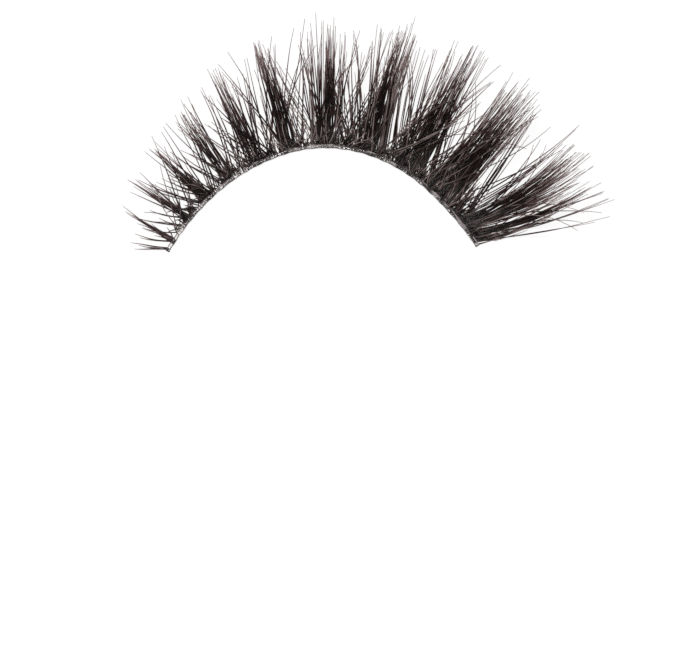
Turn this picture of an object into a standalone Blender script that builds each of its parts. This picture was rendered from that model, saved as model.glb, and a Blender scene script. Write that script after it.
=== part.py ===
# A false eyelash strip, lying by itself with its lashes curling up from the floor.
# It is a thin clear band, bent to the edge of an upper eyelid, and thirteen
# tapering tufts of lash hair set along the band's outer side.
#
# +X points to the outer corner of the eye, +Y to the tips of the lashes and +Z up.
# The origin is under the band's crown, where the band runs level with X, and the
# floor is the plane z = 0. Sizes are in millimetres and degrees; MM turns them
# into metres as the points are placed.

import math
from collections import namedtuple

import bmesh
import bpy
from mathutils import Vector

MM = 0.001

# The lid face, the band's inner wall: five tangent arcs from the inner corner of
# the eye, each with its length and how far it turns towards the outer corner.
Arc = namedtuple("Arc", "length turn")
LID_ARCS = (
    Arc(6.6, 18.4),
    Arc(6.6, 22.8),
    Arc(6.6, 33.3),
    Arc(6.6, 27.3),
    Arc(6.6, 13.3),
)
FIRST_HEADING = 59.7

# The band
BAND_WIDTH = 0.40
BAND_HEIGHT = 0.40
BAND_CHAMFER = 0.05
BAND_STEP = 0.90
BARE_INNER_END = 0.15
BARE_OUTER_END = 0.35

# The tufts. Each has a head, a short bar of knotted hair butts that lies along the
# band, and the locks that grow out of the head.
HEAD_GAP = 0.05
HEAD_DEPTH = 0.30
HEAD_THICK = 0.38
# How far the head's outer wall lies from the band's outer wall, and from the lid face
HEAD_RUN = HEAD_GAP + HEAD_DEPTH
HEAD_FRONT = BAND_WIDTH + HEAD_RUN

# The locks, with shares counted along a lock or along its tuft. They gather from
# the head's wall to the tuft's middle line, are narrowest at the waist, and taper
# from half their length on. A notch opens between neighbours as they leave the head.
GATHER_PART = 0.35
WAIST_PART = 0.60
SPREAD_POWER = 1.3
LOCK_NOTCH = 0.16
NOTCH_PART = 0.25
LOCK_THINNING = 0.12
TAPER_PART = 0.50
TAPER_POWER = 1.4
LOCK_TIP = 0.05

# The wisps
WISP_COLUMN = 0.15
WISP_WIDTH = 0.12
WISP_THICK = 0.13
WISP_REACH = 0.74
WISP_FLATTENS = 0.15
WISP_SPREAD = (0.38, 0.74)

# The curl: a lash runs level for a little way, then follows an arc upwards. The
# arc is tighter at the inner corner, where the lashes are short.
LEVEL_RUN = 1.0
CURL_INNER = 8.5
CURL_OUTER = 12.0
CURL_CHANGE = 14.0

# How far out each ring of a lock lies, as a share of the lock's own length
LOCK_RINGS = (0.08, 0.22, 0.38, 0.54, 0.70, 0.86, 1.0)
WISP_RINGS = (0.16, 0.38, 0.62, 0.84, 1.0)

# Lengths of the locks across a tuft, as shares of the tuft's reach. The longest
# lock is in the middle, so a tuft ends in a staggered point.
LOCK_LENGTHS = {
    2: (0.92, 1.0),
    3: (0.90, 1.0, 0.93),
    5: (0.89, 0.97, 1.0, 0.95, 0.91),
    6: (0.87, 0.97, 0.94, 1.0, 0.96, 0.90),
    7: (0.88, 0.97, 0.93, 1.0, 0.95, 0.98, 0.89),
}

# The tufts from the inner corner outwards.
#   place    where the middle of the head lies, along the lid face
#   width    of the hairs in the head, without the wisps
#   locks    how many the tuft is drawn as
#   aim      heading of the tuft seen from above, from +X towards +Y
#   reach    from the band's outer wall to the tips, seen from above
#   waist    width where the hairs bunch together
#   spread   width at the tips
#   bow      how far the tuft's middle swings towards the inner corner
#   left     wisps beside it towards the inner corner
#   right    wisps beside it towards the outer corner
Tuft = namedtuple("Tuft", "place width locks aim reach waist spread bow left right")
TUFTS = (
    Tuft(0.24, 0.35, 2, 179.3, 2.8, 0.32, 0.50, 0.00, 0, 0),
    Tuft(1.00, 0.60, 3, 147.5, 4.7, 0.40, 0.50, 0.00, 0, 1),
    Tuft(3.27, 1.35, 5, 145.5, 5.7, 0.87, 1.90, -0.20, 2, 1),
    Tuft(5.51, 1.50, 5, 136.5, 6.9, 0.90, 1.40, 0.00, 1, 2),
    Tuft(8.09, 1.60, 5, 121.3, 7.8, 1.00, 1.40, -0.20, 2, 2),
    Tuft(10.62, 1.90, 5, 113.8, 8.8, 1.20, 1.70, -0.30, 2, 2),
    Tuft(13.52, 2.00, 6, 103.6, 9.6, 1.40, 1.80, -0.40, 2, 2),
    Tuft(17.02, 2.50, 7, 89.2, 10.3, 1.75, 2.80, 0.00, 2, 2),
    Tuft(20.98, 2.30, 6, 73.4, 10.9, 1.80, 2.20, 0.45, 2, 2),
    Tuft(24.06, 2.20, 6, 62.0, 11.4, 2.10, 3.00, -0.15, 2, 2),
    Tuft(27.48, 2.60, 7, 52.6, 11.7, 2.40, 3.40, 0.00, 2, 2),
    Tuft(30.61, 1.90, 6, 31.6, 11.6, 2.10, 3.00, -0.45, 2, 0),
    Tuft(32.34, 1.15, 5, 23.2, 11.8, 1.50, 2.80, -0.80, 0, 2),
)
# What the outermost wisps turn towards where a tuft has no neighbour
INNER_CORNER_AIM = 184.0
OUTER_CORNER_AIM = 2.0

# The finishes: colour, roughness and how solid each looks
Finish = namedtuple("Finish", "colour roughness ior alpha")
CLEAR_BAND = Finish((0.86, 0.83, 0.82), 0.22, 1.50, 0.55)
LASH_FIBRE = Finish((0.013, 0.008, 0.008), 0.42, 1.55, 1.0)


def turned(vector, degrees):
    """A flat vector turned anticlockwise, seen from above."""
    angle = math.radians(degrees)
    cosine = math.cos(angle)
    sine = math.sin(angle)
    return Vector((vector.x * cosine - vector.y * sine, vector.x * sine + vector.y * cosine))


def flat_direction(degrees):
    """The flat unit vector with this heading."""
    return turned(Vector((1.0, 0.0)), degrees)


def walk_lid(place):
    """Point and heading on the lid face, from the inner corner's end of the arcs.

    A place before the first arc or past the last one carries that arc on.
    """
    point = Vector((0.0, 0.0))
    heading = FIRST_HEADING
    left = place
    for index, arc in enumerate(LID_ARCS):
        last = index == len(LID_ARCS) - 1
        run = left if last else min(left, arc.length)
        bend = math.radians(arc.turn) * run / arc.length
        chord = run
        if abs(bend) > 1e-9:
            chord = 2.0 * run / bend * math.sin(bend / 2.0)
        point = point + chord * flat_direction(heading - math.degrees(bend) / 2.0)
        heading -= math.degrees(bend)
        left -= run
        if left <= 0.0:
            break
    return point, heading


def crown_place():
    """How far along the lid face the band runs level with X."""
    place = 0.0
    heading = FIRST_HEADING
    for arc in LID_ARCS:
        if heading - arc.turn <= 0.0:
            return place + arc.length * heading / arc.turn
        place += arc.length
        heading -= arc.turn
    return place


CROWN = crown_place()
CROWN_POINT = walk_lid(CROWN)[0]
BAND_LENGTH = sum(arc.length for arc in LID_ARCS)


def beside_lid(place, out):
    """Flat point that lies this far out from the lid face, with the origin under the crown."""
    point, heading = walk_lid(place)
    origin = CROWN_POINT + Vector((0.0, BAND_WIDTH / 2.0))
    return point + out * flat_direction(heading + 90.0) - origin


def curl_radius(place):
    """Radius of the lashes' curl at a place along the band."""
    share = min(1.0, max(0.0, place / CURL_CHANGE))
    return CURL_INNER + (CURL_OUTER - CURL_INNER) * share


def curl(run, place):
    """Height and slope of a lash that has run this far out from the band."""
    radius = curl_radius(place)
    bent = max(0.0, run - LEVEL_RUN)
    slope = math.asin(bent / radius)
    return radius * (1.0 - math.cos(slope)), slope


def eased(share):
    """A smooth step from 0 to 1."""
    share = min(1.0, max(0.0, share))
    return share * share * (3.0 - 2.0 * share)


def material(name, finish):
    """A plain material from one row of the finishes."""
    made = bpy.data.materials.new(name)
    made.use_nodes = True
    shader = made.node_tree.nodes["Principled BSDF"]
    shader.inputs["Base Color"].default_value = (*finish.colour, 1.0)
    shader.inputs["Roughness"].default_value = finish.roughness
    shader.inputs["Metallic"].default_value = 0.0
    shader.inputs["IOR"].default_value = finish.ior
    shader.inputs["Alpha"].default_value = finish.alpha
    made.diffuse_color = (*finish.colour, finish.alpha)
    return made


def add_piece(name, bm, origin, finish, parent):
    """Turn a finished mesh, made round its own origin, into a named object."""
    bmesh.ops.recalc_face_normals(bm, faces=bm.faces[:])
    mesh = bpy.data.meshes.new(name)
    bm.to_mesh(mesh)
    bm.free()
    mesh.shade_smooth()
    mesh.set_sharp_from_angle(angle=math.radians(50.0))
    piece = bpy.data.objects.new(name, mesh)
    piece.location = (origin.x * MM, origin.y * MM, 0.0)
    piece.parent = parent
    bpy.context.scene.collection.objects.link(piece)
    mesh.materials.append(finish)
    return piece


def raised(flat, height):
    """A flat point in millimetres at a height, as a point in metres."""
    return Vector((flat.x * MM, flat.y * MM, height * MM))


def band_section():
    """The band's cross-section: steps out from the lid face and heights, chamfered."""
    cut = BAND_CHAMFER
    wide = BAND_WIDTH
    tall = BAND_HEIGHT
    return (
        (cut, 0.0),
        (wide - cut, 0.0),
        (wide, cut),
        (wide, tall - cut),
        (wide - cut, tall),
        (cut, tall),
        (0.0, tall - cut),
        (0.0, cut),
    )


def band_stations():
    """Places of the band's sections, evenly out from one facet centred on the crown."""
    first = -BARE_INNER_END
    final = BAND_LENGTH + BARE_OUTER_END
    stations = [first, final]
    for side, end in ((-1.0, first), (1.0, final)):
        place = CROWN + side * BAND_STEP / 2.0
        while side * (end - place) > BAND_STEP / 2.0:
            stations.append(place)
            place += side * BAND_STEP
    return sorted(stations)


def build_band(finish, parent):
    """The clear band, one closed bar bent along the lid face."""
    bm = bmesh.new()
    edges = []
    for place in band_stations():
        ring = [bm.verts.new(raised(beside_lid(place, out), height)) for out, height in band_section()]
        for start, end in zip(ring, ring[1:] + ring[:1]):
            edges.append(bm.edges.new((start, end)))
        if place in (-BARE_INNER_END, BAND_LENGTH + BARE_OUTER_END):
            bm.faces.new(ring)
    size = len(band_section())
    rings = [edges[start:start + size] for start in range(0, len(edges), size)]
    for ring, following in zip(rings, rings[1:]):
        bmesh.ops.bridge_loops(bm, edges=ring + following)
    return add_piece("band", bm, Vector((0.0, 0.0)), finish, parent)


def tuft_columns(tuft):
    """The head's columns from the inner corner outwards, as (kind, number, from, to)."""
    columns = []
    edge = tuft.place - tuft.width / 2.0 - tuft.left * WISP_COLUMN
    for number in range(tuft.left, 0, -1):
        columns.append(("left", number, edge, edge + WISP_COLUMN))
        edge += WISP_COLUMN
    share = tuft.width / tuft.locks
    for number in range(tuft.locks):
        columns.append(("lock", number, edge, edge + share))
        edge += share
    for number in range(1, tuft.right + 1):
        columns.append(("right", number, edge, edge + WISP_COLUMN))
        edge += WISP_COLUMN
    return columns


def tuft_width(tuft, share):
    """Width of the gathered hairs at a share of the tuft's reach."""
    if share < WAIST_PART:
        return tuft.width + (tuft.waist - tuft.width) * eased(share / WAIST_PART)
    opened = (share - WAIST_PART) / (1.0 - WAIST_PART)
    return tuft.waist + (tuft.spread - tuft.waist) * opened ** SPREAD_POWER


def lock_point(tuft, run, across):
    """Flat point in a tuft, run out from the band's outer wall.

    across goes from -1 at the inner corner's side to 1 at the outer corner's. Near
    the head a point goes straight on from the head's wall, and further out the
    points gather round the tuft's middle line.
    """
    share = run / tuft.reach
    aim = flat_direction(tuft.aim)
    sideways = flat_direction(tuft.aim + 90.0)
    front = beside_lid(tuft.place + across * tuft.width / 2.0, HEAD_FRONT)
    straight = front + (run - HEAD_RUN) * aim
    middle = beside_lid(tuft.place, BAND_WIDTH) + run * aim
    middle += 4.0 * tuft.bow * share * (1.0 - share) * sideways
    gathered = middle - across * tuft_width(tuft, share) / 2.0 * sideways
    return straight.lerp(gathered, eased(share / GATHER_PART))


def ring_points(left, right, aim, run, place, thick):
    """Four corners of a lock's ring: below left, below right, above right, above left."""
    height, slope = curl(run, place)
    middle = HEAD_THICK / 2.0 + height
    back = -math.sin(slope) * thick / 2.0
    up = math.cos(slope) * thick / 2.0
    return (
        raised(left - back * aim, middle - up),
        raised(right - back * aim, middle - up),
        raised(right + back * aim, middle + up),
        raised(left + back * aim, middle + up),
    )


def lock_rings(tuft, number):
    """Rings of one main lock, from just off the head to the tip."""
    end = tuft.reach * LOCK_LENGTHS[tuft.locks][number]
    middle = -1.0 + 2.0 * (number + 0.5) / tuft.locks
    aim = flat_direction(tuft.aim)
    rings = []
    for part in LOCK_RINGS:
        run = HEAD_RUN + (end - HEAD_RUN) * part
        whole = tuft_width(tuft, run / tuft.reach)
        wide = whole / tuft.locks * (1.0 - LOCK_NOTCH * min(1.0, part / NOTCH_PART))
        thick = HEAD_THICK * (1.0 - LOCK_THINNING * min(1.0, part / TAPER_PART))
        if part > TAPER_PART:
            fine = ((part - TAPER_PART) / (1.0 - TAPER_PART)) ** TAPER_POWER
            wide += (LOCK_TIP - wide) * fine
            thick += (LOCK_TIP - thick) * fine
        left = lock_point(tuft, run, middle - wide / whole)
        right = lock_point(tuft, run, middle + wide / whole)
        rings.append(ring_points(left, right, aim, run, tuft.place, thick))
    return rings


def wisp_rings(tuft, place, lean):
    """Rings of one fine wisp beside a tuft, which leans away from it by this angle."""
    end = tuft.reach * WISP_REACH
    aim = flat_direction(tuft.aim + lean)
    sideways = flat_direction(tuft.aim + lean + 90.0)
    root = beside_lid(place, HEAD_FRONT)
    rings = []
    for part in WISP_RINGS:
        run = HEAD_RUN + (end - HEAD_RUN) * part
        share = run / tuft.reach
        wide = WISP_WIDTH + (LOCK_TIP - WISP_WIDTH) * part
        flattened = min(1.0, part / WISP_FLATTENS)
        thick = HEAD_THICK + (WISP_THICK - HEAD_THICK) * flattened
        thick += (LOCK_TIP - thick) * part ** 2
        middle = root + (run - HEAD_RUN) * aim + 4.0 * tuft.bow * share * (1.0 - share) * sideways
        left = middle + wide / 2.0 * sideways
        right = middle - wide / 2.0 * sideways
        rings.append(ring_points(left, right, aim, run, tuft.place, thick))
    return rings


def grow(bm, face, rings, origin):
    """Draw one face of the head out through the rings of a lock."""
    for ring in rings:
        face = bmesh.ops.extrude_discrete_faces(bm, faces=[face])["faces"][0]
        for vert, point in zip(face.verts, ring):
            vert.co = point - origin


def build_tuft(number, finish, parent):
    """One tuft: its head along the band, with the locks and wisps that grow from it."""
    tuft = TUFTS[number]
    before = TUFTS[number - 1].aim if number > 0 else INNER_CORNER_AIM
    after = TUFTS[number + 1].aim if number + 1 < len(TUFTS) else OUTER_CORNER_AIM
    lean_to = {"left": (before - tuft.aim) / 2.0, "right": (after - tuft.aim) / 2.0}

    columns = tuft_columns(tuft)
    origin = beside_lid(tuft.place, BAND_WIDTH)
    lift = raised(origin, 0.0)
    inner = BAND_WIDTH + HEAD_GAP
    bm = bmesh.new()
    corners = []
    for place in [columns[0][2]] + [column[3] for column in columns]:
        back = beside_lid(place, inner)
        front = beside_lid(place, HEAD_FRONT)
        corners.append([
            bm.verts.new(raised(flat, height) - lift)
            for flat, height in ((back, 0.0), (front, 0.0), (front, HEAD_THICK), (back, HEAD_THICK))
        ])
    bm.faces.new(corners[0])
    bm.faces.new(corners[-1])
    fronts = []
    for near, far in zip(corners, corners[1:]):
        bm.faces.new((near[0], near[1], far[1], far[0]))
        bm.faces.new((near[2], near[3], far[3], far[2]))
        bm.faces.new((near[3], near[0], far[0], far[3]))
        fronts.append(bm.faces.new((near[1], far[1], far[2], near[2])))
    for face, (kind, order, start, end) in zip(fronts, columns):
        if kind == "lock":
            rings = lock_rings(tuft, order)
        else:
            lean = lean_to[kind] * WISP_SPREAD[order - 1]
            rings = wisp_rings(tuft, (start + end) / 2.0, lean)
        grow(bm, face, rings, lift)
    name = "lash_cluster_{:02d}".format(number + 1)
    return add_piece(name, bm, origin, finish, parent)


def main():
    """Clear the scene and build the strip."""
    for old in list(bpy.data.objects):
        bpy.data.objects.remove(old, do_unlink=True)
    strip = bpy.data.objects.new("eyelash_strip", None)
    bpy.context.scene.collection.objects.link(strip)
    build_band(material("clear_band", CLEAR_BAND), strip)
    hair = material("lash_fibre", LASH_FIBRE)
    for number in range(len(TUFTS)):
        build_tuft(number, hair, strip)


main()
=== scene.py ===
"""False eyelash strip: the looks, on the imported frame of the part.

Each of the thirteen lash tufts is drawn hair by hair, with the crossing hairs that
fill the gaps between the tufts and the single strays. The band is drawn as a pair of
threads, with the hairs' butts under them and a film of dried glue round them. Sizes
are in millimetres and degrees, in the part's own frame: the origin under the band's
crown, +X to the outer corner of the eye, +Y to the tips of the middle lashes and +Z
up. MM turns them into metres.
"""

import logging
import math
from dataclasses import dataclass, field
from enum import Enum
from typing import Dict, List, Optional, Sequence, Tuple, Union

import bpy
import numpy as np
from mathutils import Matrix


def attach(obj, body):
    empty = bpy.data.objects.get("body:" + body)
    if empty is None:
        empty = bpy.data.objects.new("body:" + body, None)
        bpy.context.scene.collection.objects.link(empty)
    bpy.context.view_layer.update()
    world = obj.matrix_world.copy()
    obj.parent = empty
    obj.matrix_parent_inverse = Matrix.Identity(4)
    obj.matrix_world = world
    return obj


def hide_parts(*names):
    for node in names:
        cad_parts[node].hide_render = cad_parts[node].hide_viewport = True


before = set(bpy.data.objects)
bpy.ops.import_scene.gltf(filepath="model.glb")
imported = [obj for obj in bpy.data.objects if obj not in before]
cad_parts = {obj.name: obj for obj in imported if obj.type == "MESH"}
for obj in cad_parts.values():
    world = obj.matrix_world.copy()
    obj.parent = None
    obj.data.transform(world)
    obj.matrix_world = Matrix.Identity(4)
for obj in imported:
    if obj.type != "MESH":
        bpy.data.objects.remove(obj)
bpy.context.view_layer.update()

LOG = logging.getLogger("eyelash_strip")
MM = 0.001
ROOT_BODY = "root"
BAND_NODE = "band"
NO_BEND = 1e-9

Flat = np.ndarray
Pair = Tuple[float, float]
Piece = bpy.types.Object
Material = bpy.types.Material
Tree = bpy.types.NodeTree
Socket = bpy.types.NodeSocket
Inputs = Dict[Union[int, str], object]


class Slot(Enum):
    """The record's material slots."""

    HAIR = "hair"
    BAND = "band"


class Layer(Enum):
    """Where a fan of hairs lies in the thickness of the strip, as a height at the root."""

    UNDER = 0.10
    AMONG = 0.19
    OVER = 0.33

    @property
    def lit(self) -> float:
        """How often a hair of this layer takes the painted highlight colour."""
        return 0.4 if self is Layer.OVER else 0.1

    def around(self, spread: float) -> Pair:
        """Lowest and highest value of something that spreads about the layer's height."""
        return (self.value - spread, self.value + spread)


# Geometry that the looks share with the solids


@dataclass(frozen=True)
class Arc:
    """One arc of the lid face, with its length and its turn to the outer corner."""

    length: float
    turn: float


@dataclass(frozen=True)
class LidLine:
    """The lid face of the band: tangent arcs from the inner corner of the eye."""

    arcs: Tuple[Arc, ...] = (
        Arc(6.6, 18.4),
        Arc(6.6, 22.8),
        Arc(6.6, 33.3),
        Arc(6.6, 27.3),
        Arc(6.6, 13.3),
    )
    first_heading: float = 59.7
    band_width: float = 0.40
    bare_inner_end: float = 0.15
    bare_outer_end: float = 0.20

    @property
    def length(self) -> float:
        """Length of the arcs together."""
        return sum(arc.length for arc in self.arcs)

    def walk(self, place: float) -> Tuple[Flat, float]:
        """Follow the arcs.

        Args:
            place: distance from the inner corner's end. Past either end the arc goes on.

        Returns:
            The flat point, counted from the first arc's start, and the heading there.
        """
        point = np.zeros(2)
        heading = self.first_heading
        left = place
        for arc in self.arcs:
            run = left if arc is self.arcs[-1] else min(left, arc.length)
            bend = math.radians(arc.turn) * run / arc.length
            chord = run if abs(bend) < NO_BEND else 2.0 * run / bend * math.sin(bend / 2.0)
            point = point + chord * heading_vector(heading - math.degrees(bend) / 2.0)
            heading -= math.degrees(bend)
            left -= run
            if left <= 0.0:
                break
        return point, heading

    def crown(self) -> float:
        """Place where the band runs level with X."""
        place = 0.0
        heading = self.first_heading
        for arc in self.arcs:
            if heading <= arc.turn:
                return place + arc.length * heading / arc.turn
            place += arc.length
            heading -= arc.turn
        return place

    def beside(self, place: float, out: float) -> Flat:
        """Flat point that lies out from the lid face, in the part's frame.

        Args:
            place: distance along the lid face.
            out: distance from the lid face towards the lashes.

        Returns:
            The point.
        """
        point, heading = self.walk(place)
        origin = self.walk(self.crown())[0] + np.array([0.0, self.band_width / 2.0])
        return point + out * heading_vector(heading + 90.0) - origin

    def outward(self, place: float) -> Flat:
        """Unit vector from the lid face towards the lashes."""
        return heading_vector(self.walk(place)[1] + 90.0)


@dataclass(frozen=True)
class Curl:
    """How the lashes rise: level at first, then round an arc, tighter at the inner corner.

    The change is the distance along the band over which the radius grows from the
    inner one to the outer one. The steepest is the share of the radius at which a
    hair stops getting steeper.
    """

    level_run: float = 1.0
    inner_radius: float = 8.5
    outer_radius: float = 12.0
    change: float = 14.0
    steepest: float = 0.985

    def rise(self, run: np.ndarray, place: float, tighter: float = 1.0) -> np.ndarray:
        """Height of a lash above its root.

        Args:
            run: distances from the band, seen from above.
            place: where along the band it grows.
            tighter: factor on the arc's radius for one hair's own curl.

        Returns:
            The heights.
        """
        share = min(1.0, max(0.0, place / self.change))
        radius = (self.inner_radius + (self.outer_radius - self.inner_radius) * share) * tighter
        bent = np.clip(run - self.level_run, 0.0, self.steepest * radius)
        return radius - np.sqrt(radius * radius - bent * bent)


def heading_vector(degrees: float) -> Flat:
    """The flat unit vector with this heading, from +X towards +Y."""
    angle = math.radians(degrees)
    return np.array([math.cos(angle), math.sin(angle)])


def eased(share: np.ndarray) -> np.ndarray:
    """A smooth step from 0 to 1."""
    share = np.clip(share, 0.0, 1.0)
    return share * share * (3.0 - 2.0 * share)


LID = LidLine()
CURL = Curl()


# Finishes

# Places of the colour sockets on a mix node
MIX_COLOUR_A = 6
MIX_COLOUR_B = 7
MIX_COLOUR_RESULT = 2


def linear(code: str) -> Tuple[float, float, float, float]:
    """Turn an sRGB hex colour into the linear values that a shader takes.

    Args:
        code: six hex digits after a hash.

    Returns:
        Red, green, blue and an alpha of 1.
    """
    values = [int(code[start:start + 2], 16) / 255.0 for start in (1, 3, 5)]
    values = [v / 12.92 if v <= 0.04045 else ((v + 0.055) / 1.055) ** 2.4 for v in values]
    return (values[0], values[1], values[2], 1.0)


def plug(tree: Tree, node: bpy.types.Node, inputs: Inputs) -> None:
    """Set a node's inputs.

    Args:
        tree: the material's tree.
        node: the node.
        inputs: by name or number, a value for an input or the output socket to link to it.
    """
    for name, value in inputs.items():
        if isinstance(value, Socket):
            tree.links.new(value, node.inputs[name])
        else:
            node.inputs[name].default_value = value


def add_node(tree: Tree, kind: str, settings: Dict[str, object], inputs: Inputs) -> bpy.types.Node:
    """Add one node.

    Args:
        tree: the material's tree.
        kind: the node's type name.
        settings: attributes of the node itself.
        inputs: what plug takes.

    Returns:
        The node.
    """
    node = tree.nodes.new(kind)
    for name, value in settings.items():
        setattr(node, name, value)
    plug(tree, node, inputs)
    return node


def new_material(name: str) -> Tuple[Material, Tree, bpy.types.Node]:
    """Start a material.

    Args:
        name: its name.

    Returns:
        The material, its tree and its shader node.
    """
    made = bpy.data.materials.new(name)
    made.use_nodes = True
    tree = made.node_tree
    return made, tree, tree.nodes["Principled BSDF"]


def map_range(tree: Tree, value: Socket, before: Pair, after: Pair) -> Socket:
    """Map a value from one range to another, and stop at the range's ends."""
    node = add_node(tree, "ShaderNodeMapRange", {}, {
        "Value": value, "From Min": before[0], "From Max": before[1],
        "To Min": after[0], "To Max": after[1]})
    return node.outputs["Result"]


def attribute(tree: Tree, name: str) -> Socket:
    """Read one of the hairs' own attributes."""
    return add_node(tree, "ShaderNodeAttribute", {"attribute_name": name}, {}).outputs["Fac"]


def combine(tree: Tree, how: str, first: Socket, second: Socket, clamp: bool = False) -> Socket:
    """Add or multiply two values, and keep the result from 0 to 1 if it is clamped."""
    settings = {"operation": how, "use_clamp": clamp}
    return add_node(tree, "ShaderNodeMath", settings, {0: first, 1: second}).outputs["Value"]


def noise(tree: Tree, size_mm: float, detail: float) -> Socket:
    """Add a noise that is fixed to the object, with lumps of this size."""
    place = add_node(tree, "ShaderNodeTexCoord", {}, {}).outputs["Object"]
    return add_node(tree, "ShaderNodeTexNoise", {}, {
        "Vector": place, "Scale": 1.0 / (size_mm * MM), "Detail": detail}).outputs["Fac"]


def ramp(tree: Tree, factor: Socket, stops: Sequence[Tuple[float, str]]) -> Socket:
    """Add a colour ramp.

    Args:
        tree: the material's tree.
        factor: what drives it.
        stops: places and sRGB colours.

    Returns:
        Its colour output.
    """
    node = add_node(tree, "ShaderNodeValToRGB", {}, {"Fac": factor})
    elements = node.color_ramp.elements
    while len(elements) < len(stops):
        elements.new(0.5)
    for element, (place, code) in zip(elements, stops):
        element.position = place
        element.color = linear(code)
    return node.outputs["Color"]


@dataclass(frozen=True)
class LashFibre:
    """Drawn polyester lash fibre, dyed brown-black, with a soft silk sheen.

    A single hair lets some light through and looks warm brown on white. Where hairs
    lie over each other they are near black. The grey lines where the topmost ones
    catch the light are painted highlights: some hairs get a lighter colour, in patches
    and clear of the root.
    """

    root_colour: str = "#3d2421"
    tip_colour: str = "#ab9290"
    painted_highlight: str = "#bfb1ae"
    dark_part: float = 0.55
    highlight_patch_mm: float = 1.1
    highlight_patch_noise: Pair = (0.35, 0.65)
    highlight_strength: Pair = (0.45, 1.1)
    root_zone: Pair = (0.02, 0.14)
    root_highlight: float = 0.15
    roughness: float = 0.40
    smoother: float = 0.06
    rougher: float = 0.10
    ior: float = 1.57
    specular: float = 0.08
    transmission: float = 0.92
    opaque_from: float = 0.5

    def build(self) -> Material:
        """Build the material from the hairs' own attributes."""
        made, tree, shader = new_material("lash_fibre")
        along = attribute(tree, "along")
        tint = attribute(tree, "tint")
        length_colour = ramp(tree, along, (
            (0.0, self.root_colour), (self.dark_part, self.root_colour), (1.0, self.tip_colour)))
        # Painted highlight: the lighter colour shows on a hair in patches along it and fades out
        # towards the root
        patches = noise(tree, self.highlight_patch_mm, 1.0)
        highlight_patches = map_range(tree, patches, self.highlight_patch_noise, self.highlight_strength)
        clear_of_root = map_range(tree, along, self.root_zone, (self.root_highlight, 1.0))
        part = combine(tree, "MULTIPLY", highlight_patches, clear_of_root)
        light = combine(tree, "MULTIPLY", part, tint, clamp=True)
        mixed = add_node(tree, "ShaderNodeMix", {"data_type": "RGBA"}, {
            "Factor": light, MIX_COLOUR_A: length_colour,
            MIX_COLOUR_B: linear(self.painted_highlight)})
        rough = (self.roughness - self.smoother, self.roughness + self.rougher)
        plug(tree, shader, {
            "Base Color": mixed.outputs[MIX_COLOUR_RESULT], "IOR": self.ior,
            "Roughness": map_range(tree, tint, (0.0, 1.0), rough),
            "Specular IOR Level": self.specular, "Transmission Weight": map_range(
                tree, light, (0.0, self.opaque_from), (self.transmission, 0.0))})
        return made


@dataclass(frozen=True)
class DriedGlue:
    """A thin film of dried latex glue, clear, with milky patches where it pooled.

    The milky patches are partly pooled glue and partly painted glints: the whiter
    glue stands in for glints. It shows as a wet-looking edge with small bright lights
    on its lumps, and the hair butts show through it, greyed.
    """

    colour: str = "#faf5f4"
    roughness: float = 0.12
    ior: float = 1.48
    transmission: float = 0.94
    milky: float = 0.55
    glint_pool_mm: float = 1.6
    glint_pool_noise: Pair = (0.36, 0.50)
    lump_mm: float = 0.35
    lump_depth_mm: float = 0.02
    lump_strength: float = 0.6

    def build(self) -> Material:
        """Build the material, with fine lumps as bump."""
        made, tree, shader = new_material("dried_glue")
        bump = add_node(tree, "ShaderNodeBump", {}, {
            "Height": noise(tree, self.lump_mm, 3.0), "Distance": self.lump_depth_mm * MM,
            "Strength": self.lump_strength})
        # Milky patches: partly pooled glue and partly painted glints; less light passes there, so
        # the whiter glue shows
        plug(tree, shader, {
            "Base Color": linear(self.colour), "Roughness": self.roughness, "IOR": self.ior,
            "Normal": bump.outputs["Normal"], "Transmission Weight": map_range(
                tree, noise(tree, self.glint_pool_mm, 1.0), self.glint_pool_noise,
                (self.milky, self.transmission))})
        return made


@dataclass(frozen=True)
class ClearThread:
    """Translucent nylon thread, pinkish white where it is milky, grey with dye elsewhere.

    It is the light line along the roots of the lashes and the fine grey edge on the
    lid's side.
    """

    milky: str = "#f8f2f1"
    dyed: str = "#6f6664"
    stretch_mm: float = 0.8
    change: Pair = (0.42, 0.56)
    roughness: float = 0.24
    ior: float = 1.53
    transmission: float = 0.30

    def build(self) -> Material:
        """Build the material, with milky and grey stretches along the thread."""
        made, tree, shader = new_material("clear_nylon_thread")
        stretches = noise(tree, self.stretch_mm, 2.0)
        greyer = combine(tree, "ADD", stretches, attribute(tree, "tint"))
        colour = ramp(tree, greyer, ((self.change[0], self.milky), (self.change[1], self.dyed)))
        plug(tree, shader, {
            "Base Color": colour, "Roughness": self.roughness, "IOR": self.ior,
            "Transmission Weight": self.transmission})
        return made


@dataclass(frozen=True)
class LitAcrylic:
    """Opal acrylic sheet lit from below, so that the strip's shadow on it is very faint."""

    colour: str = "#7c7c7c"
    light: str = "#ffffff"
    glow: float = 0.90
    roughness: float = 0.6
    specular: float = 0.1

    def build(self) -> Material:
        """Build the material."""
        made, tree, shader = new_material("opal_acrylic")
        plug(tree, shader, {
            "Base Color": linear(self.colour), "Roughness": self.roughness,
            "Specular IOR Level": self.specular, "Emission Color": linear(self.light),
            "Emission Strength": self.glow})
        return made


# Hairs


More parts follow.
